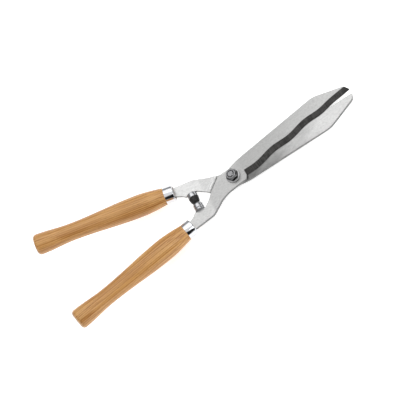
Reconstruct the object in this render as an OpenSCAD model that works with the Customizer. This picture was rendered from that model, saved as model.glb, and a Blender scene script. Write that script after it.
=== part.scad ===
// Hedge shears with wavy blades, cranked shanks and turned wooden handles.
// The pivot axis is Z, the blade tips point along +X, and the bolt head stands on z = 0.
// The upper blade's handle lies on the -Y side and the lower blade's handle on the +Y side.

/* [Blades] */
// Distance from the pivot axis to the blade tips
blade_reach = 219.5; // [200:0.5:240]
// Thickness of each blade and shank
blade_t = 4.5; // [4:0.5:5]
// Distance from the pivot axis to the widest place of the blades
shoulder_x = 165; // [145:1:175]
// Distance of the blade's back from the middle line at its widest place
shoulder_y = 29.2; // [26:0.1:32]
// Distance from the pivot axis to the heel, where the cutting edge starts
heel_x = 19; // [18:0.5:22]
// Distance of the mean cutting edge from the middle line at the heel
heel_y = 12.2; // [11:0.1:13]
// Distance of the cutting edge past the middle line at the tip
tip_y = 3.6; // [2:0.1:5]
// Length of one wave of the cutting edge
wave_pitch = 63; // [50:1:75]
// Height of the waves from the mean cutting edge
wave_height = 1.5; // [0:0.1:2]
// Width of the ground bevel at the heel, seen from above
bevel_heel_w = 8.9; // [7:0.1:10]
// Width of the ground bevel at the tip, seen from above
bevel_tip_w = 8; // [6:0.1:9]

/* [Shanks] */
// Angle that both shanks and handles are cranked up
crank_angle = 12.5; // [8:0.5:16]
// Distance from the pivot axis back to the crank
crank_x = 51.5; // [51:0.5:53]
// Distance from the pivot axis back to the ferrules' front ends
ferrule_x = 90.4; // [88:0.2:94]
// Distance of the handles' axes from the middle line at the ferrules
ferrule_y = 33.3; // [32:0.1:35]
// Angle between each handle and the middle line, in the plane of the shank
splay_angle = 10.5; // [8:0.5:13]
// Width of the shank where it enters the ferrule
tang_root_w = 14.4; // [12:0.2:16]

/* [Handles] */
// Length of a handle with its ferrule
handle_len = 225; // [200:1:240]
// Diameter of the handle at its belly
belly_d = 34.4; // [31:0.2:36]
// Diameter of the handle at its waist
waist_d = 26.4; // [24:0.2:29]
// Diameter of the handle's butt
butt_d = 32.2; // [29:0.2:34]
// Outer diameter of the ferrule
ferrule_d = 26.6; // [26:0.2:28]
// Length of the ferrule
ferrule_len = 15; // [13:0.5:18]

/* [Stops] */
// Diameter of the stop cup and of the anvil
stop_d = 16; // [14:0.5:17]
// Distance from the pivot axis back to the stops
stop_x = 69.5; // [68:0.5:71]
// Distance of the stops' seats on the shanks from the middle line
seat_y = 16; // [15.5:0.1:17]
// Depth of the cup
cup_h = 7.6; // [6:0.2:9]
// How far the buffer stands out of the cup
buffer_h = 10.2; // [9:0.1:11]

/* [Pivot] */
// Diameter of the pivot bolt
bolt_d = 10; // [8:0.5:10]
// Diameter of the bolt's flat head
head_d = 23; // [20:0.5:25]
// Thickness of the bolt's flat head
head_h = 5; // [4:0.5:6]
// Width of the nut across its flats
nut_w = 17; // [16:0.5:18]
// Outer diameter of the dished washer
washer_d = 22.5; // [21:0.5:25]

/* [Hidden] */
$fn = 96;

// Running gaps at the pivot
slide_gap = 0.05;
bore_gap = 0.05;

// Heights, from the bolt head up
z_lower = head_h;
z_part = z_lower + blade_t;
z_upper = z_part + slide_gap;
z_washer = z_upper + blade_t + slide_gap;
z_shank = z_upper + blade_t / 2;

// Washer, nut and bolt end
washer_t = 1.3;
washer_dish = 0.4;
washer_bore_gap = 0.25;
z_nut = z_washer + washer_t + washer_dish;
nut_hex_h = 6;
nut_turn = 8;
nut_collar_h = 2.4;
nut_collar_d = nut_w - 1;
nut_collar_edge = 1.2;
collar_bore_d = bolt_d + 1.4;
insert_d = 13.4;
insert_h = 1.7;
insert_floor = 0.2;
z_bolt_end = z_nut + nut_hex_h + nut_collar_h + 0.7;
bolt_edge = 1;
neck_gap = 0.1;
square_short = 0.3;

// Wave of the cutting edge: it fades out towards the tip
wave_crest_x = 72.5;
fade_start_x = 155;
fade_len = 50;
edge_land = 0.35;
edge_step = 2.5;
edge_ends = [heel_x + 0.6, blade_reach - 0.6];

// Sizes that reach well past the whole tool, for cutting
past_tips = blade_reach + 80;
tall = 80;

// Bends
crank_r = 24;
bend_x = -crank_x + crank_r * tan(crank_angle / 2);
joggle_r = 4.6;
joggle_angle = 44;
joggle_rise = z_upper - z_lower;
joggle_clear = 1.6;

// The edge of the upper blade that crosses the lower blade's shank, from the crotch to its neck
crotch = [-42, 0];
neck_corner = [-19.5, 16];
crotch_angle = atan2(neck_corner.y - crotch.y, neck_corner.x - crotch.x);

// Handle, in its own frame: the axis is Z, from the ferrule's front end to the butt
shoulder_s = 2.5;
ferrule_wall = 1.1;
ferrule_lip = 1.6;
tang_len = 118;
tang_w = 10;
tang_tip_w = 5;
belly_s = 58;
waist_s = 165;
butt_round = 6;

// Stops, measured from the shank's seat towards the middle line
cup_wall = 1.2;
cup_floor = 1.5;
tenon_w = 7;
tenon_len = 2.8;
contact_gap = 0.3;
nose_r = 4.3;
buffer_tip = cup_h + buffer_h;
anvil_h = 2 * seat_y - buffer_tip - contact_gap;

// ---- Plane geometry ----

function unit(v) = v / norm(v);

// Points along an arc
function arc(centre, r, from, to, steps = 6) =
    [for (i = [0:steps]) centre + r * [cos(from + (to - from) * i / steps), sin(from + (to - from) * i / steps)]];

// One corner [x, y, r] between its neighbours, rounded with radius r
function corner(before, p, after) =
    let (
        at = [p.x, p.y],
        a = unit([before.x, before.y] - at),
        b = unit([after.x, after.y] - at),
        half = acos(a * b) / 2,
        centre = at + unit(a + b) * p.z / sin(half),
        start = at + a * p.z / tan(half) - centre,
        end = at + b * p.z / tan(half) - centre,
        from = atan2(start.y, start.x),
        turn = atan2(start.x * end.y - start.y * end.x, start * end)
    )
    arc(centre, p.z, from, from + turn, max(2, ceil(abs(turn) / 9)));

// An outline whose points are [x, y, r]: a point with r = 0 stays sharp
function rounded(points) =
    let (n = len(points))
    [for (i = [0:n - 1])
        each points[i].z == 0
            ? [[points[i].x, points[i].y]]
            : corner(points[(i + n - 1) % n], points[i], points[(i + 1) % n])];

// A smooth step from 0 to 1
function ease(t) = (1 - cos(180 * t)) / 2;

// ---- Blade outline, drawn for the upper blade ----

// Cutting edge: a sloping line with a cosine wave on it
function edge_y(x) =
    -heel_y + (heel_y + tip_y) * (x - heel_x) / (blade_reach - heel_x)
    + wave_height * min(1, max(0, 1 - (x - fade_start_x) / fade_len))
    * cos(360 * (x - wave_crest_x) / wave_pitch);

edge_count = floor((edge_ends[1] - edge_ends[0]) / edge_step);
edge_xs = [for (i = [0:edge_count]) edge_ends[0] + i * (edge_ends[1] - edge_ends[0]) / edge_count];

// A point of the handle's frame, s along its axis and w across it, seen from above
function from_handle(s, w) =
    let (
        u = (crank_x - ferrule_x) / cos(crank_angle) - s * cos(splay_angle) + w * sin(splay_angle),
        v = ferrule_y + s * sin(splay_angle) + w * cos(splay_angle)
    )
    [-crank_x + u * cos(crank_angle), -v, 0];

// The shank from the tang's shoulder to the crotch, with the stop's flat seat
shank_inner = [
    [-83, -20.5, 8],
    [-78.5, -seat_y, 2],
    [-60.5, -seat_y, 2],
    [-52.5, -9.5, 10],
    [crotch.x, crotch.y, 40],
];
shank_outer = [[-56.5, -35.4, 9], [-33, -22, 30], [-20, -18.3, 30]];
neck = [[neck_corner.x, neck_corner.y, 2], [-12.5, 12, 5], [-2, 15, 30], [17, 18.9, 30]];
heel = [[4, -17.2, 60], [15.5, -17.6, 3], [heel_x, edge_y(edge_ends[0]) - 0.3, 2]];

blade_outline = rounded(concat(
    heel,
    [for (x = edge_xs) [x, edge_y(x), 0]],
    [[blade_reach, tip_y + 1.3, 1], [blade_reach - 5, 12.1, 7], [shoulder_x, shoulder_y, 40]],
    [for (i = [len(neck) - 1:-1:0]) neck[i]],
    [for (i = [len(shank_inner) - 1:-1:0]) shank_inner[i]],
    [from_handle(shoulder_s, -tang_root_w / 2), from_handle(shoulder_s, tang_root_w / 2)],
    shank_outer
));

// ---- Plates with bends, as side views to cut the outline from ----

// The cranked plate: flat towards the tips, rising towards the handles
module crank_side() {
    centre = [bend_x, crank_r];
    lift = ferrule_x * [-cos(crank_angle), sin(crank_angle)];
    top = arc(centre, crank_r - blade_t / 2, -90, -90 - crank_angle);
    low = arc(centre, crank_r + blade_t / 2, -90 - crank_angle, -90);
    polygon(concat(
        [[past_tips, blade_t / 2]],
        top,
        [top[len(top) - 1] + lift, low[0] + lift],
        low,
        [[past_tips, -blade_t / 2]]
    ));
}

// The joggled plate: flat, then up by one blade thickness, then flat again
module joggle_side() {
    flank = (joggle_rise - 2 * joggle_r * (1 - cos(joggle_angle))) / sin(joggle_angle);
    run = 2 * joggle_r * sin(joggle_angle) + flank * cos(joggle_angle);
    first = [joggle_clear, joggle_r];
    second = [joggle_clear + run, joggle_rise - joggle_r];
    inner = joggle_r - blade_t / 2;
    outer = joggle_r + blade_t / 2;
    polygon(concat(
        [[-past_tips, blade_t / 2]],
        arc(first, inner, -90, -90 + joggle_angle),
        arc(second, outer, 90 + joggle_angle, 90),
        [[past_tips, joggle_rise + blade_t / 2], [past_tips, joggle_rise - blade_t / 2]],
        arc(second, inner, 90, 90 + joggle_angle),
        arc(first, outer, -90 + joggle_angle, -90),
        [[-past_tips, -blade_t / 2]]
    ));
}

// A side view drawn out sideways into a wide bent sheet, which the outline is cut from
module bent_sheet() {
    rotate([90, 0, 0]) linear_extrude(2 * past_tips, center = true) children();
}

module crank_sheet() {
    translate([0, 0, z_shank]) bent_sheet() crank_side();
}

module joggle_sheet() {
    translate([crotch.x, crotch.y, z_lower + blade_t / 2])
        rotate([0, 0, crotch_angle + 90])
            bent_sheet() joggle_side();
}

// The plane outline of a blade with its shank, as a column that the bent sheets are cut with
module outline_column(side) {
    linear_extrude(tall) polygon([for (p = blade_outline) [p.x, -side * p.y]]);
}

// Places the handle's frame: side is -1 for the upper blade and 1 for the lower blade
module at_handle(side) {
    translate([-crank_x, 0, z_shank])
        rotate([0, crank_angle, 0])
            translate([(crank_x - ferrule_x) / cos(crank_angle), side * ferrule_y, 0])
                rotate([0, 0, -side * splay_angle])
                    rotate([0, -90, 0])
                        children();
}

// Places the stop's frame: Z points from the shank's seat across the middle line
module at_stop(side) {
    translate([-crank_x, 0, z_shank])
        rotate([0, crank_angle, 0])
            translate([(crank_x - stop_x) / cos(crank_angle), side * seat_y, 0])
                rotate([side * 90, 0, 0])
                    children();
}

// The tang inside the handle, in the handle's frame
module tang() {
    rotate([0, 90, 0])
        translate([0, 0, -blade_t / 2])
            linear_extrude(blade_t)
                polygon([
                    [-shoulder_s + 1, tang_w / 2],
                    [-tang_len, tang_tip_w / 2],
                    [-tang_len, -tang_tip_w / 2],
                    [-shoulder_s + 1, -tang_w / 2],
                ]);
}

// The tenon that carries a stop, in the stop's frame
module tenon() {
    translate([-tenon_w / 2, -blade_t / 2, -1]) cube([tenon_w, blade_t, tenon_len + 1]);
}

// The ground bevel's waste: a wedge that follows the wavy edge
module bevel_waste() {
    over = 1;
    depth = blade_t - edge_land;
    xs = concat([heel_x - 0.2], edge_xs, [blade_reach + 6]);
    function width(x) = bevel_heel_w + (bevel_tip_w - bevel_heel_w) * (x - heel_x) / (blade_reach - heel_x);
    function ring(x) = [
        [x, edge_y(x) - over, z_upper + edge_land - over * depth / width(x)],
        [x, edge_y(x) + width(x) * (1 + over / depth), z_upper + blade_t + over],
        [x, edge_y(x) - over, z_upper + blade_t + over],
    ];
    last = len(xs) - 1;
    polyhedron(
        points = [for (x = xs) each ring(x)],
        faces = concat(
            [[0, 1, 2], [3 * last + 2, 3 * last + 1, 3 * last]],
            [for (i = [0:last - 1]) for (k = [0:2])
                [3 * i + k, 3 * i + 3 + k, 3 * i + 3 + (k + 1) % 3, 3 * i + (k + 1) % 3]]
        )
    );
}

// ---- Parts ----

module upper_blade() color("gainsboro") {
    difference() {
        intersection() {
            outline_column(-1);
            crank_sheet();
        }
        translate([0, 0, z_upper - 1]) cylinder(d = bolt_d + 2 * bore_gap, h = blade_t + 2);
        bevel_waste();
    }
    at_handle(-1) tang();
    at_stop(-1) tenon();
}

module lower_blade() color("silver") {
    // The two bent sheets meet just inside the crank's bend, past the end of the joggle
    meet_x = bend_x - 1;
    meet_overlap = 0.1;
    hole_w = bolt_d + neck_gap;
    difference() {
        union() {
            intersection() {
                outline_column(1);
                joggle_sheet();
                translate([meet_x, -past_tips, 0]) cube([2 * past_tips, 2 * past_tips, tall]);
            }
            intersection() {
                outline_column(1);
                crank_sheet();
                translate([meet_x + meet_overlap - 2 * past_tips, -past_tips, 0])
                    cube([2 * past_tips, 2 * past_tips, tall]);
            }
        }
        translate([-hole_w / 2, -hole_w / 2, z_lower - 1]) cube([hole_w, hole_w, blade_t + 2]);
        translate([0, 0, z_lower + z_upper + blade_t]) rotate([180, 0, 0]) bevel_waste();
    }
    at_handle(1) tang();
    at_stop(1) tenon();
}

module pivot_bolt() color("dimgray") {
    square_h = z_part - square_short - head_h / 2;
    rotate_extrude() polygon([
        [0, 0],
        [head_d / 2 - bolt_edge, 0],
        [head_d / 2, bolt_edge],
        [head_d / 2, head_h],
        [bolt_d / 2, head_h],
        [bolt_d / 2, z_bolt_end - bolt_edge],
        [bolt_d / 2 - bolt_edge, z_bolt_end],
        [0, z_bolt_end],
    ]);
    translate([-bolt_d / 2, -bolt_d / 2, head_h / 2]) cube([bolt_d, bolt_d, square_h]);
}

module dished_washer() color("lightgray") {
    bore_r = bolt_d / 2 + washer_bore_gap;
    rotate_extrude() polygon([
        [washer_d / 2, z_washer],
        [washer_d / 2, z_washer + washer_t],
        [nut_w / 2, z_nut],
        [bore_r, z_nut],
        [bore_r, z_nut - washer_t],
    ]);
}

module pivot_nut() color("dimgray") {
    corner_r = nut_w / 2 / cos(30);
    bevel = corner_r - nut_w / 2 + 0.1;
    collar_z = nut_hex_h + nut_collar_h;
    difference() {
        union() {
            intersection() {
                translate([0, 0, z_nut]) rotate(nut_turn) cylinder(r = corner_r, h = nut_hex_h, $fn = 6);
                translate([0, 0, z_nut]) rotate_extrude() polygon([
                    [0, 0],
                    [corner_r - bevel, 0],
                    [corner_r, bevel / 2],
                    [corner_r, nut_hex_h - bevel / 2],
                    [corner_r - bevel, nut_hex_h],
                    [0, nut_hex_h],
                ]);
            }
            translate([0, 0, z_nut]) rotate_extrude() polygon([
                [0, nut_hex_h - 1],
                [nut_collar_d / 2, nut_hex_h - 1],
                [nut_collar_d / 2, collar_z - nut_collar_edge],
                [nut_collar_d / 2 - nut_collar_edge, collar_z],
                [0, collar_z],
            ]);
        }
        translate([0, 0, z_nut - 1]) cylinder(d = bolt_d, h = nut_hex_h + 2);
        translate([0, 0, z_nut + nut_hex_h + insert_floor]) cylinder(d = insert_d, h = insert_h);
        translate([0, 0, z_nut + nut_hex_h]) cylinder(d = collar_bore_d, h = nut_collar_h + 1);
    }
}

module nut_insert() color("black") {
    translate([0, 0, z_nut + nut_hex_h + insert_floor])
        difference() {
            cylinder(d = insert_d, h = insert_h);
            translate([0, 0, -1]) cylinder(d = bolt_d, h = insert_h + 2);
        }
}

// A ferrule: a tube with a turned-in front lip, in the handle's frame
module ferrule() {
    r = ferrule_d / 2;
    bore = r - ferrule_wall;
    lip = ferrule_lip;
    rotate_extrude() polygon(concat(
        [[r, ferrule_len]],
        arc([r - lip, lip], lip, 0, -90),
        [[bore - lip, 0], [bore - lip, ferrule_wall], [bore, ferrule_wall + lip / 2], [bore, ferrule_len]]
    ));
}

// A turned handle: spigot, belly, waist and butt, in the handle's frame
module handle() {
    start_r = ferrule_d / 2 - 0.2;
    belly_r = belly_d / 2;
    waist_r = waist_d / 2;
    butt_r = butt_d / 2;
    round_s = handle_len - butt_round;
    steps = 14;
    belly = [for (i = [0:steps]) let (t = i / steps)
        [start_r + (belly_r - start_r) * sin(90 * t), ferrule_len + (belly_s - ferrule_len) * t]];
    waist = [for (i = [1:steps]) let (t = i / steps)
        [belly_r + (waist_r - belly_r) * ease(t), belly_s + (waist_s - belly_s) * t]];
    butt = [for (i = [1:steps]) let (t = i / steps)
        [waist_r + (butt_r - waist_r) * ease(t), waist_s + (round_s - waist_s) * t]];
    spigot_r = ferrule_d / 2 - ferrule_wall;
    difference() {
        rotate_extrude() polygon(concat(
            [[0, shoulder_s], [spigot_r, shoulder_s], [spigot_r, ferrule_len]],
            belly,
            waist,
            butt,
            arc([butt_r - butt_round, round_s], butt_round, 10, 90),
            [[0, handle_len]]
        ));
        tang();
    }
}

module lower_ferrule() color("whitesmoke") at_handle(1) ferrule();

module upper_ferrule() color("whitesmoke") at_handle(-1) ferrule();

module lower_handle() color("burlywood") at_handle(1) handle();

module upper_handle() color("burlywood") at_handle(-1) handle();

// Profile of a dome from radius r down to the nose over height h
function dome(r, base, h, steps = 8) =
    [for (i = [0:steps]) let (t = i / steps) [nose_r + (r - nose_r) * cos(90 * t), base + h * (0.15 * t + 0.85 * sin(90 * t))]];

module stop_cup() color("whitesmoke") at_stop(1) difference() {
    cylinder(d = stop_d, h = cup_h);
    translate([0, 0, cup_floor]) cylinder(d = stop_d - 2 * cup_wall, h = cup_h);
    tenon();
}

module stop_buffer() color("black") at_stop(1) difference() {
    rotate_extrude() polygon(concat(
        [[0, cup_floor], [stop_d / 2 - cup_wall, cup_floor], [stop_d / 2 - cup_wall, cup_h]],
        dome(stop_d / 2 - 0.4, cup_h, buffer_h),
        [[0, cup_h + buffer_h]]
    ));
    tenon();
}

module stop_anvil() color("whitesmoke") at_stop(-1) difference() {
    dome_h = 5;
    groove = 0.7;
    rotate_extrude() polygon(concat(
        [[0, 0], [stop_d / 2, 0], [stop_d / 2, 2]],
        [[stop_d / 2 - groove, 2.6], [stop_d / 2 - groove, 3.4], [stop_d / 2, 4]],
        dome(stop_d / 2, anvil_h - dome_h, dome_h),
        [[0, anvil_h]]
    ));
    tenon();
}

lower_blade();
upper_blade();
pivot_bolt();
dished_washer();
pivot_nut();
nut_insert();
lower_ferrule();
upper_ferrule();
lower_handle();
upper_handle();
stop_cup();
stop_buffer();
stop_anvil();
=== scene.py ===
import math

import bmesh
import bpy
from mathutils import Matrix, Vector


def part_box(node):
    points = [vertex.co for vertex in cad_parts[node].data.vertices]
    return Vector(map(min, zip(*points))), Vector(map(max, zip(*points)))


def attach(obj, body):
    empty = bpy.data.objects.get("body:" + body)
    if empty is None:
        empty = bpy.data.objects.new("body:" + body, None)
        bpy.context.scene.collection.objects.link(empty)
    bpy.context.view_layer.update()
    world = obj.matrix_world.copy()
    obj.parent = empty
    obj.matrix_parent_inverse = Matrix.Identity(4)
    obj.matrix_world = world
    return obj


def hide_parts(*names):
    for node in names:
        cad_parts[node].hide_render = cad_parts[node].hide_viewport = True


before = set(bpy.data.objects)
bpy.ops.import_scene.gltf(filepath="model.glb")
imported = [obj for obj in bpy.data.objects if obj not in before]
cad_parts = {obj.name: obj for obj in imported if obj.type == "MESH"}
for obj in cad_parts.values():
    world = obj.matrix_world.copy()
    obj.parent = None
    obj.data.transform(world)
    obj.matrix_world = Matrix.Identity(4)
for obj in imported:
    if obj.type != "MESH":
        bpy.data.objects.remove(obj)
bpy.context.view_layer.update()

MM = 0.001
LOWER = 1
UPPER = -1
BODY = {LOWER: "lower_half", UPPER: "upper_half"}
SIDE_NAME = {LOWER: "lower", UPPER: "upper"}

# ---- Driving dimensions, as the CAD has them ----

BLADE_T = 4.5 * MM
SLIDE_GAP = 0.05 * MM
CRANK_ANGLE = math.radians(12.5)
CRANK_X = 51.5 * MM
FERRULE_X = 90.4 * MM
FERRULE_Y = 33.3 * MM
SPLAY_ANGLE = math.radians(10.5)
STOP_X = 69.5 * MM
SEAT_Y = 16 * MM
HEEL_X = 19 * MM

HANDLE_LEN = 225 * MM
FERRULE_LEN = 15 * MM
FERRULE_R = 13.3 * MM
FERRULE_WALL = 1.1 * MM
FERRULE_LIP = 1.6 * MM
START_R = FERRULE_R - 0.2 * MM
BELLY_R = 17.2 * MM
WAIST_R = 13.2 * MM
BUTT_R = 16.1 * MM
SHOULDER_S = 2.5 * MM
BELLY_S = 58 * MM
WAIST_S = 165 * MM
BUTT_ROUND = 6 * MM
TANG_TIP_S = 118 * MM
TANG_ROOT_HALF_W = 5 * MM
TANG_TIP_HALF_W = 2.5 * MM

STOP_R = 8 * MM
CUP_H = 7.6 * MM
CUP_FLOOR = 1.5 * MM
CUP_WALL = 1.2 * MM
BUFFER_H = 10.2 * MM
NOSE_R = 4.3 * MM
ANVIL_H = 13.9 * MM
ANVIL_DOME_H = 5 * MM
TENON_H = 2.8 * MM
TENON_HALF_W = 3.5 * MM

BOLT_R = 5 * MM
NUT_R = 8.5 * MM
NUT_TURN = math.radians(8)
NUT_HEX_H = 6 * MM
COLLAR_EDGE = 1.2 * MM
WASHER_T = 1.3 * MM
WASHER_BORE_GAP = 0.25 * MM
NECK_SHORT = 0.3 * MM

# ---- Details that only the looks have ----

NOSE_FILLET = 0.5 * MM
THREAD_PITCH = 1.5 * MM
THREAD_DEPTH = 0.8 * MM
# Painted shade in front of the pivot on the blades: its colour, the length of its fade and the sway of its
# ragged edge.
PAINTED_SHADE_COLOUR = (0.06, 0.06, 0.058)
PAINTED_SHADE_FADE = 0.11
PAINTED_SHADE_RAGGED = 0.022
RING_PITCH = 0.0028
RING_SWAY = 0.003
RING_WOBBLE = 0.0009
FLOOR_HALF = 30
FLOOR_Z = -0.0002

# ---- Heights at the pivot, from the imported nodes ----

Z_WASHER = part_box("dished_washer")[0].z
Z_SHANK = (Z_WASHER - SLIDE_GAP) - BLADE_T / 2
Z_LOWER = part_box("lower_blade")[0].z
Z_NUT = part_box("pivot_nut")[0].z
Z_NUT_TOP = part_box("pivot_nut")[1].z
Z_BOLT_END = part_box("pivot_bolt")[1].z


# ---- Frames of the handles and the stops ----

def turn(degrees, axis):
    return Matrix.Rotation(math.radians(degrees), 4, axis)


def shank_frame():
    """The cranked shanks' shared plane: its origin is on the crank line, at half the plate's thickness."""
    return Matrix.Translation((-CRANK_X, 0, Z_SHANK)) @ Matrix.Rotation(CRANK_ANGLE, 4, "Y")


def handle_frame(side):
    """Local Z runs along the handle, from the ferrule's front end to the butt."""
    start = Vector(((CRANK_X - FERRULE_X) / math.cos(CRANK_ANGLE), side * FERRULE_Y, 0))
    splay = Matrix.Rotation(-side * SPLAY_ANGLE, 4, "Z")
    return shank_frame() @ Matrix.Translation(start) @ splay @ turn(-90, "Y")


def stop_frame(side):
    """Local Z runs from the stop's seat on the shank towards the middle line."""
    seat = Vector(((CRANK_X - STOP_X) / math.cos(CRANK_ANGLE), side * SEAT_Y, 0))
    return shank_frame() @ Matrix.Translation(seat) @ turn(side * 90, "X")


# ---- Mesh tools ----

def ease(t):
    """A smooth step from 0 to 1."""
    return (1 - math.cos(math.pi * t)) / 2


def rounded(corners, steps=5):
    """A profile whose corners (radius, height, fillet) are rounded with arcs. A fillet of 0 stays sharp."""
    points = []
    for i, (radius, height, fillet) in enumerate(corners):
        at = Vector((radius, height))
        if fillet == 0:
            points.append(tuple(at))
            continue
        before = Vector(corners[i - 1][:2]) - at
        after = Vector(corners[(i + 1) % len(corners)][:2]) - at
        half = before.angle(after) / 2
        bisector = (before.normalized() + after.normalized()).normalized()
        centre = at + bisector * fillet / math.sin(half)
        start = at + before.normalized() * fillet / math.tan(half) - centre
        end = at + after.normalized() * fillet / math.tan(half) - centre
        sweep = math.atan2(start.x * end.y - start.y * end.x, start.dot(end))
        for k in range(steps + 1):
            arm = start.copy()
            arm.rotate(Matrix.Rotation(sweep * k / steps, 2))
            points.append(tuple(centre + arm))
    return points


def turned_mesh(name, profile, segments=96):
    """A lathe mesh about local Z. Profile points are (radius, height), and a radius may be a function of
    the angle. A profile from axis to axis makes a solid piece, and any other one closes into a ring."""
    bm = bmesh.new()
    angles = [2 * math.pi * i / segments for i in range(segments)]
    rings = []
    for radius, height in profile:
        if not callable(radius) and radius < 1e-9:
            rings.append([bm.verts.new((0, 0, height))])
            continue
        reach = [radius(a) if callable(radius) else radius for a in angles]
        spots = [(r * math.cos(a), r * math.sin(a), height) for r, a in zip(reach, angles)]
        rings.append([bm.verts.new(spot) for spot in spots])
    pairs = list(zip(rings, rings[1:]))
    if len(rings[0]) > 1:
        pairs.append((rings[-1], rings[0]))
    for one, other in pairs:
        for i in range(segments):
            j = (i + 1) % segments
            ring = [one[i % len(one)], one[j % len(one)], other[j % len(other)], other[i % len(other)]]
            bm.faces.new(list(dict.fromkeys(ring)))
    bmesh.ops.recalc_face_normals(bm, faces=bm.faces)
    mesh = bpy.data.meshes.new(name)
    bm.to_mesh(mesh)
    bm.free()
    return mesh


def shade(mesh, sharp_angle=35):
    mesh.shade_smooth()
    mesh.set_sharp_from_angle(angle=math.radians(sharp_angle))


def place(name, mesh, matrix, body, materials, replaces):
    """Puts a finished mesh in the scene, as the piece that stands for a CAD node."""
    for material in materials:
        mesh.materials.append(material)
    piece = bpy.data.objects.new(name, mesh)
    bpy.context.scene.collection.objects.link(piece)
    piece.matrix_world = matrix
    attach(piece, body)
    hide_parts(replaces)
    return piece


def cut(mesh, cutter):
    """Subtracts a closed cutter mesh from a closed mesh, and returns the result."""
    target = bpy.data.objects.new("cut_target", mesh)
    tool = bpy.data.objects.new("cut_tool", cutter)
    for part in (target, tool):
        bpy.context.scene.collection.objects.link(part)
    boolean = target.modifiers.new("cut", "BOOLEAN")
    boolean.object = tool
    boolean.operation = "DIFFERENCE"
    boolean.solver = "EXACT"
    depsgraph = bpy.context.evaluated_depsgraph_get()
    result = bpy.data.meshes.new_from_object(target.evaluated_get(depsgraph))
    result.name = mesh.name
    for part in (target, tool):
        bpy.data.objects.remove(part)
    return result


def prism(outline, low, high):
    """A closed mesh between two outlines: (y, z) points that are extruded along X from low to high."""
    bm = bmesh.new()
    ends = [[bm.verts.new((x, y, z)) for y, z in outline] for x in (low, high)]
    bm.faces.new(ends[0])
    bm.faces.new(ends[1])
    count = len(outline)
    for i in range(count):
        j = (i + 1) % count
        bm.faces.new((ends[0][i], ends[0][j], ends[1][j], ends[1][i]))
    bmesh.ops.recalc_face_normals(bm, faces=bm.faces)
    mesh = bpy.data.meshes.new("cutter")
    bm.to_mesh(mesh)
    bm.free()
    return mesh


# ---- Material tools ----

class Shader:
    """A material's node tree, with short calls that add nodes and link them."""

    def __init__(self, name, **constants):
        self.material = bpy.data.materials.new(name)
        self.material.use_nodes = True
        self.tree = self.material.node_tree
        self.bsdf = self.tree.nodes["Principled BSDF"]
        for socket, value in constants.items():
            self.bsdf.inputs[socket.replace("_", " ")].default_value = value

    def node(self, kind, inputs=(), **settings):
        """Adds a node, sets its attributes, and fills its inputs with numbers or links."""
        made = self.tree.nodes.new(kind)
        for name, value in settings.items():
            setattr(made, name, value)
        for name, value in dict(inputs).items():
            if isinstance(value, bpy.types.NodeSocket):
                self.tree.links.new(value, made.inputs[name])
            else:
                made.inputs[name].default_value = value
        return made

    def stretched(self, scale, offset=(0, 0, 0)):
        """The piece's own coordinates, in metres, times a scale for each axis."""
        coords = self.node("ShaderNodeTexCoord").outputs["Object"]
        mapping = {"Vector": coords, "Scale": scale, "Location": offset}
        return self.node("ShaderNodeMapping", mapping).outputs["Vector"]

    def noise(self, vector, scale=1.0, detail=3.0, roughness=0.5):
        inputs = {"Vector": vector, "Scale": scale, "Detail": detail, "Roughness": roughness}
        return self.node("ShaderNodeTexNoise", inputs).outputs["Fac"]

    def math(self, operation, *values):
        inputs = dict(enumerate(values))
        return self.node("ShaderNodeMath", inputs, operation=operation).outputs[0]

    def span(self, value, low, high, to_low=0.0, to_high=1.0):
        """Maps low to high onto to_low to to_high, and clamps outside."""
        inputs = {"Value": value, "From Min": low, "From Max": high, "To Min": to_low, "To Max": to_high}
        return self.node("ShaderNodeMapRange", inputs).outputs["Result"]

    def mix(self, factor, one, other):
        """A colour between two colours. Sockets 6 and 7 take them, and output 2 is the result."""
        mixer = self.node("ShaderNodeMix", data_type="RGBA")
        for index, value in ((0, factor), (6, one), (7, other)):
            if isinstance(value, bpy.types.NodeSocket):
                self.tree.links.new(value, mixer.inputs[index])
            elif index:
                mixer.inputs[index].default_value = (*value, 1)
            else:
                mixer.inputs[index].default_value = value
        return mixer.outputs[2]

    def bump(self, height, strength, distance, normal=None):
        inputs = {"Height": height, "Strength": strength, "Distance": distance}
        if normal is not None:
            inputs["Normal"] = normal
        return self.node("ShaderNodeBump", inputs).outputs["Normal"]

    def use(self, **links):
        """Links sockets to the shader's inputs, and returns the material."""
        for name, socket in links.items():
            self.tree.links.new(socket, self.bsdf.inputs[name.replace("_", " ")])
        return self.material


# ---- Materials ----

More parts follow.
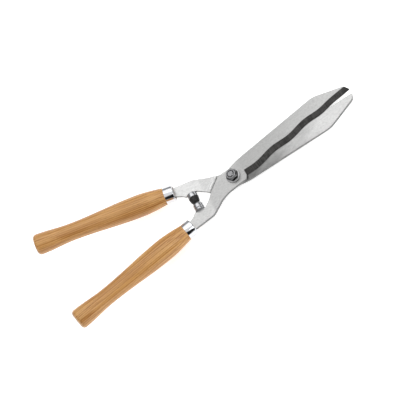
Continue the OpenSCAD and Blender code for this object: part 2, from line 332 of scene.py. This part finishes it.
def blade_steel(name, dark, light, painted_shade_share, painted_shade_end):
    """Satin ground steel: fine lengthwise grinding lines and cloudy patches. A painted shade darkens the
    blade in front of the pivot by a given share, with a ragged edge, and fades out at a given end, in metres
    along the blade."""
    s = Shader(name, Metallic=1.0)
    lines = s.noise(s.stretched((14, 1400, 1400)), detail=4)
    broad = s.noise(s.stretched((6, 260, 260)), detail=2)
    cloud = s.noise(s.stretched((38, 38, 38)), detail=5, roughness=0.6)
    ground = s.math("ADD", s.math("MULTIPLY", lines, 0.35), s.math("MULTIPLY", cloud, 0.65))
    speckle = s.noise(s.stretched((260, 420, 420)), detail=4, roughness=0.7)
    tone = s.math("ADD", s.math("MULTIPLY", ground, 0.55), s.math("MULTIPLY", speckle, 0.45))
    clean = s.mix(s.span(tone, 0.38, 0.62), dark, light)
    along = s.node("ShaderNodeSeparateXYZ", {0: s.stretched((1, 1, 1))}).outputs["X"]
    # Painted shade: a dark film with a ragged edge over the blade in front of the pivot, fading out along
    # the blade.
    blotch = s.noise(s.stretched((30, 70, 70)), detail=4)
    ragged = s.math("ADD", along, s.span(blotch, 0.3, 0.7, -PAINTED_SHADE_RAGGED, PAINTED_SHADE_RAGGED))
    painted_shade = s.span(ragged, painted_shade_end - PAINTED_SHADE_FADE, painted_shade_end, painted_shade_share, 0.0)
    past_pivot = s.span(along, -0.004, 0.022, 0.0, 1.0)
    colour = s.mix(s.math("MULTIPLY", painted_shade, past_pivot), clean, PAINTED_SHADE_COLOUR)
    rough = s.math("ADD", s.span(cloud, 0.3, 0.7, 0.34, 0.44), s.span(lines, 0.3, 0.7, -0.03, 0.03))
    fine = s.bump(lines, 0.25, 0.00003)
    return s.use(Base_Color=colour, Roughness=rough, Normal=s.bump(broad, 0.2, 0.00008, fine))


def bevel_steel():
    """The hardened bevel: dark steel with coarse grinding marks across the edge."""
    s = Shader("bevel_steel", Metallic=1.0)
    marks = s.noise(s.stretched((900, 60, 60)), detail=4)
    cloud = s.noise(s.stretched((120, 160, 160)), detail=4, roughness=0.65)
    tone = s.math("ADD", s.math("MULTIPLY", marks, 0.5), s.math("MULTIPLY", cloud, 0.5))
    colour = s.mix(s.span(tone, 0.36, 0.66), (0.035, 0.034, 0.033), (0.115, 0.112, 0.108))
    rough = s.span(cloud, 0.3, 0.7, 0.38, 0.55)
    return s.use(Base_Color=colour, Roughness=rough, Normal=s.bump(marks, 0.5, 0.00006))


def shaded_edge_steel():
    """The plates' cut edges: painted darker than their faces as painted shade, and rougher, with short
    vertical tool marks.
    """
    s = Shader("shaded_edge_steel", Metallic=1.0)
    marks = s.noise(s.stretched((1500, 1500, 90)), detail=3)
    cloud = s.noise(s.stretched((150, 150, 150)), detail=4)
    colour = s.mix(s.span(cloud, 0.3, 0.7), (0.13, 0.13, 0.13), (0.27, 0.27, 0.265))
    rough = s.span(cloud, 0.3, 0.7, 0.42, 0.58)
    return s.use(Base_Color=colour, Roughness=rough, Normal=s.bump(marks, 0.35, 0.00006))


def plated_steel(name, dark, light, side, rough_low, rough_high):
    """Plated steel: faint crystal clouds and turning lines round the axis. Faces that look up take the
    clouded colour as painted light, and the sides take the darker side colour as painted shade."""
    s = Shader(name, Metallic=1.0)
    cloud = s.noise(s.stretched((420, 420, 420)), detail=5, roughness=0.65)
    lines = s.noise(s.stretched((60, 60, 2600)), detail=2)
    painted_lit_top = s.mix(s.span(cloud, 0.32, 0.68), dark, light)
    normal = s.node("ShaderNodeNewGeometry").outputs["Normal"]
    facing_up = s.node("ShaderNodeSeparateXYZ", {0: normal}).outputs["Z"]
    # Painted light and shade: faces that look up take the clouded colour, and the sides the dark side
    # colour.
    colour = s.mix(s.span(facing_up, 0.15, 0.6), side, painted_lit_top)
    rough = s.span(cloud, 0.3, 0.7, rough_low, rough_high)
    return s.use(Base_Color=colour, Roughness=rough, Normal=s.bump(lines, 0.15, 0.00003))


def chrome(name, dark, light):
    """Polished chrome plate, with faint smudges and the slight waviness of drawn tube."""
    s = Shader(name, Metallic=1.0)
    smudge = s.noise(s.stretched((130, 130, 90)), detail=5, roughness=0.6)
    colour = s.mix(s.span(smudge, 0.3, 0.7), dark, light)
    rough = s.span(smudge, 0.35, 0.75, 0.05, 0.16)
    wave = s.noise(s.stretched((90, 90, 220)), detail=1)
    return s.use(Base_Color=colour, Roughness=rough, Normal=s.bump(wave, 0.08, 0.0002))


def rubber():
    """Black moulded rubber with a fine matt skin and a little dust."""
    s = Shader("buffer_rubber", Specular_IOR_Level=0.35)
    grit = s.noise(s.stretched((1600, 1600, 1600)), detail=3)
    dust = s.noise(s.stretched((240, 240, 240)), detail=5, roughness=0.65)
    colour = s.mix(s.span(dust, 0.45, 0.75), (0.012, 0.012, 0.012), (0.045, 0.044, 0.042))
    rough = s.span(dust, 0.3, 0.7, 0.5, 0.7)
    return s.use(Base_Color=colour, Roughness=rough, Normal=s.bump(grit, 0.3, 0.00006))


def nylon():
    """Black nylon: slightly waxy, a little uneven in tone."""
    s = Shader("nylon", Specular_IOR_Level=0.4)
    cloud = s.noise(s.stretched((500, 500, 500)), detail=4)
    colour = s.mix(s.span(cloud, 0.3, 0.7), (0.018, 0.018, 0.020), (0.050, 0.050, 0.053))
    return s.use(Base_Color=colour, Roughness=s.span(cloud, 0.3, 0.7, 0.38, 0.5))


def growth_rings(s, pith, seed):
    """The share of porous early wood, in solid growth rings. Their axis is off to one side of the handle, so
    that the turned surface cuts them into long lines on its flanks and arches on its faces."""
    sway = s.noise(s.stretched((12, 12, 4), (seed, seed, seed)), detail=1)
    wobble = s.noise(s.stretched((160, 160, 8), (seed, 0, seed)), detail=2)
    axis = s.stretched((1, 1, 0), (pith[0], pith[1], 0))
    reach = s.node("ShaderNodeVectorMath", {0: axis}, operation="LENGTH").outputs["Value"]
    swayed = s.math("ADD", reach, s.math("MULTIPLY", sway, RING_SWAY))
    bent = s.math("ADD", swayed, s.math("MULTIPLY", wobble, RING_WOBBLE))
    phase = s.math("FRACT", s.math("DIVIDE", bent, RING_PITCH))
    return s.math("MULTIPLY", s.span(phase, 0.0, 0.12), s.span(phase, 0.16, 0.75, 1.0, 0.0))


def ash_wood(name, pith, seed):
    """Lacquered ash, with growth rings, lengthwise streaks, fibres and dark pores."""
    s = Shader(name, Coat_Weight=0.35, Coat_Roughness=0.15, Coat_IOR=1.5, Specular_IOR_Level=0.25)
    early = growth_rings(s, pith, seed)
    fibre = s.noise(s.stretched((1300, 1300, 30), (0, seed, 0)), detail=4, roughness=0.6)
    streak = s.noise(s.stretched((300, 300, 5), (seed, 0, 0)), detail=4)
    pore = s.noise(s.stretched((2600, 2600, 150), (0, 0, seed)), detail=2)
    pits = s.span(pore, 0.60, 0.70)
    crowding = s.math("ADD", s.math("MULTIPLY", early, 0.75), 0.25)
    pores = s.math("MULTIPLY", pits, crowding)

    figure = s.math("ADD", s.math("MULTIPLY", early, 0.50), s.span(streak, 0.34, 0.66, -0.22, 0.62))
    tone = s.math("ADD", figure, s.span(fibre, 0.32, 0.68, -0.20, 0.22))
    base = s.mix(s.span(tone, 0.0, 1.0), (0.68, 0.385, 0.138), (0.32, 0.122, 0.024))
    blush = s.noise(s.stretched((26, 26, 9), (seed, seed, 0)), detail=2)
    warm = s.mix(s.span(blush, 0.35, 0.65, 0.0, 0.5), base, (0.55, 0.265, 0.080))
    colour = s.mix(s.math("MULTIPLY", pores, 0.7), warm, (0.115, 0.045, 0.016))

    rough = s.math("ADD", s.span(fibre, 0.3, 0.7, 0.36, 0.46), s.math("MULTIPLY", pores, 0.15))
    relief = s.math("SUBTRACT", s.math("MULTIPLY", fibre, 0.35), pores)
    return s.use(Base_Color=colour, Roughness=rough, Normal=s.bump(relief, 0.18, 0.00008))


# ---- Blades ----

def finish_index(face):
    """0 for a ground face, 1 for the bevel and 2 for a cut edge with painted shade, by the face's lean."""
    upright, flat = 0.4, 0.95
    lean = abs(face.normal.z)
    if upright < lean < flat and face.calc_center_median().x > HEEL_X - MM:
        return 1
    return 2 if lean < upright else 0


def ease_edges(piece):
    """Bevels the sharp edges a little, and keeps the wide faces flat in their shading."""
    eased = piece.modifiers.new("eased_edges", "BEVEL")
    eased.width = 0.25 * MM
    eased.segments = 2
    eased.limit_method = "ANGLE"
    eased.angle_limit = math.radians(20)
    eased.use_clamp_overlap = False
    flatten = piece.modifiers.new("flat_faces", "WEIGHTED_NORMAL")
    flatten.mode = "FACE_AREA"
    flatten.weight = 100


def blade(side, materials):
    """The CAD blade, its facets merged and its edges eased, with a finish each for bevel and cut edges."""
    node = f"{SIDE_NAME[side]}_blade"
    bm = bmesh.new()
    bm.from_mesh(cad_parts[node].data)
    bmesh.ops.remove_doubles(bm, verts=bm.verts, dist=0.03 * MM)
    bmesh.ops.dissolve_limit(bm, angle_limit=math.radians(0.4), verts=bm.verts, edges=bm.edges)
    bmesh.ops.recalc_face_normals(bm, faces=bm.faces)
    for face in bm.faces:
        face.material_index = finish_index(face)
    mesh = bpy.data.meshes.new(f"{node}_ground")
    bm.to_mesh(mesh)
    bm.free()
    mesh.shade_smooth()
    piece = place(f"{node}_ground", mesh, Matrix.Identity(4), BODY[side], materials, node)
    ease_edges(piece)


# ---- Handles and ferrules ----

def handle_profile(steps=22):
    """Spigot, belly, waist and butt."""
    round_s = HANDLE_LEN - BUTT_ROUND
    round_steps = 12
    spigot_gap = 0.03 * MM
    spigot_r = FERRULE_R - FERRULE_WALL - spigot_gap
    shares = [i / steps for i in range(steps + 1)]
    profile = [(0, SHOULDER_S), (spigot_r, SHOULDER_S), (spigot_r, FERRULE_LEN)]
    for t in shares:
        swell = math.sin(math.pi / 2 * t)
        profile.append((START_R + (BELLY_R - START_R) * swell, FERRULE_LEN + (BELLY_S - FERRULE_LEN) * t))
    for t in shares[1:]:
        profile.append((BELLY_R + (WAIST_R - BELLY_R) * ease(t), BELLY_S + (WAIST_S - BELLY_S) * t))
    for t in shares[1:]:
        profile.append((WAIST_R + (BUTT_R - WAIST_R) * ease(t), WAIST_S + (round_s - WAIST_S) * t))
    for k in range(1, round_steps + 1):
        bend = math.pi / 2 * k / round_steps
        profile.append((BUTT_R - BUTT_ROUND * (1 - math.cos(bend)), round_s + BUTT_ROUND * math.sin(bend)))
    profile.append((0, HANDLE_LEN))
    return profile


def handle(side, material):
    """A turned handle with the slot that the blade's tang is driven into."""
    node = f"{SIDE_NAME[side]}_handle"
    play = 0.08 * MM
    mouth = MM
    tang_tip = TANG_TIP_S + play
    root_w = TANG_ROOT_HALF_W + play
    tip_w = TANG_TIP_HALF_W + play
    slot = prism(
        [(root_w, mouth), (tip_w, tang_tip), (-tip_w, tang_tip), (-root_w, mouth)],
        -BLADE_T / 2 - play, BLADE_T / 2 + play,
    )
    mesh = cut(turned_mesh(f"{node}_turned", handle_profile()), slot)
    shade(mesh)
    return place(f"{node}_turned", mesh, handle_frame(side), BODY[side], [material], node)


def ferrule(side, material):
    """A drawn tube with its front lip turned in."""
    node = f"{SIDE_NAME[side]}_ferrule"
    bore = FERRULE_R - FERRULE_WALL
    lip = FERRULE_LIP
    edge = 0.25 * MM
    mesh = turned_mesh(f"{node}_drawn", rounded([
        (FERRULE_R, FERRULE_LEN, edge),
        (FERRULE_R, 0, lip),
        (bore - lip, 0, edge),
        (bore - lip, FERRULE_WALL, edge),
        (bore, FERRULE_WALL + lip / 2, edge),
        (bore, FERRULE_LEN, edge),
    ], steps=8), segments=128)
    shade(mesh)
    return place(f"{node}_drawn", mesh, handle_frame(side), BODY[side], [material], node)


# ---- Stops ----

def dome(radius, base, height, steps=18):
    """A dome's profile from its foot to its nose: a quarter ellipse with a little straight taper."""
    taper, ellipse = 0.15, 0.85
    shares = [i / steps for i in range(steps + 1)]
    return [
        (NOSE_R + (radius - NOSE_R) * math.cos(math.pi / 2 * t),
         base + height * (taper * t + ellipse * math.sin(math.pi / 2 * t)))
        for t in shares
    ]


def tenon_slot():
    """The slot that a stop is riveted through, for the tenon on the shank."""
    play = 0.05 * MM
    half_w = TENON_HALF_W + play
    half_t = BLADE_T / 2 + play
    depth = TENON_H + play
    return prism([(-half_t, -MM), (half_t, -MM), (half_t, depth), (-half_t, depth)], -half_w, half_w)


def nose(radius, height, fillet, steps=6):
    """The rounded rim between a dome and its flat nose."""
    turns = [math.pi / 2 * k / steps for k in range(1, steps + 1)]
    return [(radius - fillet * (1 - math.cos(a)), height - fillet * (1 - math.sin(a))) for a in turns]


def stop_piece(name, node, side, profile, material):
    mesh = cut(turned_mesh(name, profile), tenon_slot())
    shade(mesh)
    return place(name, mesh, stop_frame(side), BODY[side], [material], node)


def stop_cup(material):
    bore = STOP_R - CUP_WALL
    profile = rounded([
        (0, 0, 0),
        (STOP_R, 0, 0.9 * MM),
        (STOP_R, CUP_H, 0.5 * MM),
        (bore, CUP_H, 0.5 * MM),
        (bore, CUP_FLOOR, 0.4 * MM),
        (0, CUP_FLOOR, 0),
    ])
    return stop_piece("stop_cup_pressed", "stop_cup", LOWER, profile, material)


def stop_buffer(material):
    fit = 0.02 * MM
    inset = 0.4 * MM
    plug_r = STOP_R - CUP_WALL - fit
    tip = CUP_H + BUFFER_H
    profile = [(0, CUP_FLOOR), (plug_r, CUP_FLOOR), (plug_r, CUP_H + fit)]
    profile += dome(STOP_R - inset, CUP_H + fit, BUFFER_H - NOSE_FILLET)
    profile += nose(NOSE_R, tip, NOSE_FILLET)
    profile += [(0, tip)]
    return stop_piece("stop_buffer_moulded", "stop_buffer", LOWER, profile, material)


def stop_anvil(material):
    groove_r = STOP_R - 0.7 * MM
    rim = 0.25 * MM
    # The last corner only steers the round before it, because the dome starts there.
    profile = rounded([
        (0, 0, 0),
        (STOP_R, 0, 0.6 * MM),
        (STOP_R, 2.0 * MM, rim),
        (groove_r, 2.6 * MM, rim),
        (groove_r, 3.4 * MM, rim),
        (STOP_R, 4.0 * MM, rim),
        (STOP_R, ANVIL_H - ANVIL_DOME_H, 0),
    ])[:-1]
    profile += dome(STOP_R, ANVIL_H - ANVIL_DOME_H, ANVIL_DOME_H - NOSE_FILLET)
    profile += nose(NOSE_R, ANVIL_H, NOSE_FILLET)
    profile += [(0, ANVIL_H)]
    return stop_piece("stop_anvil_turned", "stop_anvil", UPPER, profile, material)


# ---- Pivot ----

def square_neck(half):
    """The radius of a square with slightly blunted corners, as a function of the angle."""
    corner_r = half * 1.36

    def radius(angle):
        return min(half / max(abs(math.cos(angle)), abs(math.sin(angle))), corner_r)
    return radius


def thread_ring(height):
    """The radius round a threaded rod at one height."""
    steepness, crest_flat = 1.45, 0.2

    def radius(angle):
        phase = (height / THREAD_PITCH - angle / (2 * math.pi)) % 1
        flank = min(1, max(0, abs(2 * phase - 1) * steepness - crest_flat))
        chamfer = BOLT_R - max(0, height - (Z_BOLT_END - MM))
        return min(BOLT_R - THREAD_DEPTH * flank, chamfer)
    return radius


def pivot_bolt(material):
    """A flat-headed bolt with a square neck under its head, and a cut thread up to its end."""
    head_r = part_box("pivot_bolt")[1].x
    bevel = MM
    neck_top = Z_LOWER + BLADE_T - NECK_SHORT
    thread_start = Z_WASHER + MM
    # The last corner only steers the round before it, because the square neck starts there.
    profile = rounded([
        (0, 0, 0),
        (head_r - bevel, 0, 0.3 * MM),
        (head_r, bevel, 0.4 * MM),
        (head_r, Z_LOWER, 0.15 * MM),
        (BOLT_R, Z_LOWER, 0),
    ])[:-1]
    profile += [(square_neck(BOLT_R), Z_LOWER), (square_neck(BOLT_R), neck_top)]
    profile += [(BOLT_R, neck_top), (BOLT_R, thread_start)]
    ring_count = 84
    step = (Z_BOLT_END - thread_start) / ring_count
    heights = [thread_start + step * k for k in range(1, ring_count + 1)]
    profile += [(thread_ring(height), height) for height in heights]
    profile += [(0, Z_BOLT_END - 0.15 * MM)]
    mesh = turned_mesh("pivot_bolt_threaded", profile)
    shade(mesh)
    return place("pivot_bolt_threaded", mesh, Matrix.Identity(4), BODY[LOWER], [material],
                 "pivot_bolt")


def dished_washer(material):
    outer_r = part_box("dished_washer")[1].x
    bore_r = BOLT_R + WASHER_BORE_GAP
    edge = 0.35 * MM
    mesh = turned_mesh("dished_washer_pressed", rounded([
        (outer_r, Z_WASHER, edge),
        (outer_r, Z_WASHER + WASHER_T, edge),
        (NUT_R, Z_NUT, edge),
        (bore_r, Z_NUT, 0.2 * MM),
        (bore_r, Z_NUT - WASHER_T, 0.2 * MM),
    ]), segments=128)
    shade(mesh)
    return place("dished_washer_pressed", mesh, Matrix.Identity(4), BODY[LOWER], [material],
                 "dished_washer")


def hexagon(height, corner_r):
    """The radius round a worn hexagon whose corners are chamfered at both ends, at one height."""
    worn_r = corner_r * 0.992
    face_r = NUT_R - 0.1 * MM
    chamfer_h = (corner_r - face_r) / 2
    rise = min(1, min(height, NUT_HEX_H - height) / chamfer_h)
    cone = face_r + (corner_r - face_r) * rise

    def radius(angle):
        off = (angle - NUT_TURN) % (math.pi / 3) - math.pi / 6
        return min(NUT_R / math.cos(off), cone, worn_r)
    return radius


def pivot_nut(material):
    """A hexagon nut with the round collar that holds its nylon ring."""
    corner_r = NUT_R / math.cos(math.pi / 6)
    chamfer_h = (corner_r - NUT_R) / 2
    overrun = 1.1
    collar_r = NUT_R - 0.5 * MM
    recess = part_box("nut_insert")
    lip_r = BOLT_R + 0.7 * MM
    rings = 10
    foot = [chamfer_h * overrun * k / rings for k in range(rings + 1)]
    top = [NUT_HEX_H - z for z in reversed(foot)]
    profile = [(BOLT_R, Z_NUT)]
    profile += [(hexagon(z, corner_r), Z_NUT + z) for z in foot + top]
    # The collar's foot only steers the round above it, so its own point is left out.
    profile += rounded([
        (collar_r, Z_NUT + NUT_HEX_H, 0),
        (collar_r, Z_NUT_TOP, COLLAR_EDGE),
        (lip_r, Z_NUT_TOP, 0.4 * MM),
        (lip_r, recess[1].z, 0.1 * MM),
        (recess[1].x, recess[1].z, 0.1 * MM),
        (recess[1].x, recess[0].z, 0.1 * MM),
        (BOLT_R, recess[0].z, 0),
    ])[1:]
    mesh = turned_mesh("pivot_nut_hex", profile, segments=180)
    shade(mesh, 28)
    return place("pivot_nut_hex", mesh, Matrix.Identity(4), BODY[LOWER], [material],
                 "pivot_nut")


def nut_insert(material):
    low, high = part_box("nut_insert")
    mesh = turned_mesh("nut_insert_ring", rounded([
        (high.x, low.z, 0.2 * MM),
        (high.x, high.z, 0.2 * MM),
        (BOLT_R, high.z, 0.3 * MM),
        (BOLT_R, low.z, 0.2 * MM),
    ]))
    shade(mesh)
    return place("nut_insert_ring", mesh, Matrix.Identity(4), BODY[LOWER], [material], "nut_insert")


# ---- Studio ----

def camera():
    """A distant camera with a long lens, rolled so that the blades point up and to the right."""
    azimuth, elevation, roll = math.radians(21.9), math.radians(57.7), math.radians(-55.1)
    distance = 9.43
    view_width = 0.600
    right_of_pivot, above_pivot = -0.0518, -0.0349
    back = Vector((math.sin(azimuth) * math.cos(elevation), -math.cos(azimuth) * math.cos(elevation),
                   math.sin(elevation)))
    level = Vector((math.cos(azimuth), math.sin(azimuth), 0))
    upright = back.cross(level)
    right = math.cos(roll) * level + math.sin(roll) * upright
    up = back.cross(right)
    pivot = Vector((0, 0, Z_LOWER + BLADE_T))
    target = pivot + right_of_pivot * right + above_pivot * up
    data = bpy.data.cameras.new("camera")
    data.sensor_width = 36
    data.lens = 36 * distance / view_width
    data.clip_start = 0.1
    data.clip_end = 100
    made = bpy.data.objects.new("camera", data)
    bpy.context.scene.collection.objects.link(made)
    made.matrix_world = Matrix.Translation(target + distance * back) @ Matrix(
        (right, up, back)).transposed().to_4x4()
    bpy.context.scene.camera = made


def softbox(name, place_at, aim, size, radiance):
    """A rectangular studio light of a given surface brightness."""
    data = bpy.data.lights.new(name, "AREA")
    data.shape = "RECTANGLE"
    data.size, data.size_y = size
    data.energy = radiance * math.pi * size[0] * size[1]
    light = bpy.data.objects.new(name, data)
    bpy.context.scene.collection.objects.link(light)
    light.location = place_at
    light.rotation_euler = (Vector(aim) - Vector(place_at)).to_track_quat("-Z", "Y").to_euler()
    return light


def room_shades(tree, direction):
    """The room's brightness by height: white overhead, grey half-way up, and paler again at the horizon."""
    cool = 1.01
    split = tree.nodes.new("ShaderNodeSeparateXYZ")
    ramp = tree.nodes.new("ShaderNodeValToRGB")
    tree.links.new(direction, split.inputs[0])
    tree.links.new(split.outputs["Z"], ramp.inputs["Fac"])
    stops = [(0.0, 0.80), (0.12, 0.50), (0.28, 0.32), (0.66, 0.32), (0.82, 0.88), (1.0, 1.0)]
    while len(ramp.color_ramp.elements) < len(stops):
        ramp.color_ramp.elements.new(0.5)
    for element, (position, value) in zip(ramp.color_ramp.elements, stops):
        element.position = position
        element.color = (value, value, value * cool, 1)
    return ramp.outputs["Color"]


def dark_screen(tree, direction):
    """A strength of 1 all round, except for a nearly black disc on the -Y side, 30 degrees up."""
    toward = tree.nodes.new("ShaderNodeVectorMath")
    toward.operation = "DOT_PRODUCT"
    tree.links.new(direction, toward.inputs[0])
    toward.inputs[1].default_value = Vector((0.10, -0.86, 0.50)).normalized()
    screen = tree.nodes.new("ShaderNodeMapRange")
    screen.inputs["From Min"].default_value = math.cos(math.radians(27))
    screen.inputs["From Max"].default_value = math.cos(math.radians(23))
    screen.inputs["To Min"].default_value = 1.0
    screen.inputs["To Max"].default_value = 0.03
    tree.links.new(toward.outputs["Value"], screen.inputs["Value"])
    return screen.outputs["Result"]


def studio_world():
    """A pale room with one dark screen, for the metal to mirror."""
    world = bpy.data.worlds.new("studio")
    bpy.context.scene.world = world
    world.use_nodes = True
    tree = world.node_tree
    direction = tree.nodes.new("ShaderNodeTexCoord").outputs["Generated"]
    background = tree.nodes["Background"]
    tree.links.new(room_shades(tree, direction), background.inputs["Color"])
    tree.links.new(dark_screen(tree, direction), background.inputs["Strength"])


def floor():
    """A wide pale floor on which the shears stand."""
    corners = ((-1, -1), (1, -1), (1, 1), (-1, 1))
    bm = bmesh.new()
    bm.faces.new([bm.verts.new((x * FLOOR_HALF, y * FLOOR_HALF, FLOOR_Z)) for x, y in corners])
    mesh = bpy.data.meshes.new("floor")
    bm.to_mesh(mesh)
    bm.free()
    s = Shader("floor_paper", Roughness=0.9, Specular_IOR_Level=0.1, Emission_Strength=0.60)
    s.bsdf.inputs["Emission Color"].default_value = (1, 1, 1, 1)
    fibre = s.noise(s.stretched((60, 60, 60)), detail=4)
    mesh.materials.append(s.use(Base_Color=s.mix(fibre, (0.90, 0.90, 0.90), (0.93, 0.93, 0.93))))
    made = bpy.data.objects.new("floor", mesh)
    bpy.context.scene.collection.objects.link(made)


# ---- The shears ----

def shears():
    ground = {
        # The last two numbers of each blade's steel set its painted shade in front of the pivot: how dark,
        # and where it has faded out.
        LOWER: blade_steel("blade_steel_lower", (0.48, 0.48, 0.475), (0.70, 0.70, 0.69), 0.80, 0.150),
        UPPER: blade_steel("blade_steel_upper", (0.41, 0.41, 0.405), (0.59, 0.59, 0.58), 0.22, 0.19),
    }
    bevel = bevel_steel()
    shaded_edge = shaded_edge_steel()
    # The third colour of each plated steel is the painted shade of its sides.
    fastener = plated_steel(
        "fastener_steel", (0.15, 0.15, 0.155), (0.32, 0.32, 0.325), (0.035, 0.035, 0.036), 0.14, 0.24)
    bright = plated_steel(
        "washer_steel", (0.40, 0.40, 0.40), (0.50, 0.50, 0.50), (0.20, 0.20, 0.20), 0.3, 0.42)
    plate = chrome("chrome_ferrules", (0.62, 0.63, 0.655), (0.72, 0.73, 0.75))
    stop_plate = chrome("chrome_stops", (0.40, 0.405, 0.42), (0.54, 0.545, 0.56))
    woods = {
        LOWER: ash_wood("ash_wood_lower", (0.058, 0.095), 3.1),
        UPPER: ash_wood("ash_wood_upper", (-0.052, -0.090), 7.7),
    }
    for side in (LOWER, UPPER):
        blade(side, [ground[side], bevel, shaded_edge])
        handle(side, woods[side])
        ferrule(side, plate)
    stop_cup(stop_plate)
    stop_buffer(rubber())
    stop_anvil(stop_plate)
    pivot_bolt(fastener)
    dished_washer(bright)
    pivot_nut(fastener)
    nut_insert(nylon())


def studio():
    bpy.context.scene.view_settings.view_transform = "Standard"
    camera()
    studio_world()
    floor()
    softbox("overhead", (0.42, 0.65, 1.3), (0.05, 0.2, 0), (2.0, 1.3), 0.8)
    softbox("side", (0.85, -0.85, 1.05), (0, 0, 0), (0.75, 0.75), 2.2)
    fill = softbox("fill", (0, 0, 2.5), (0, 0, 0), (4, 4), 0.35)
    fill.visible_glossy = False


shears()
studio()
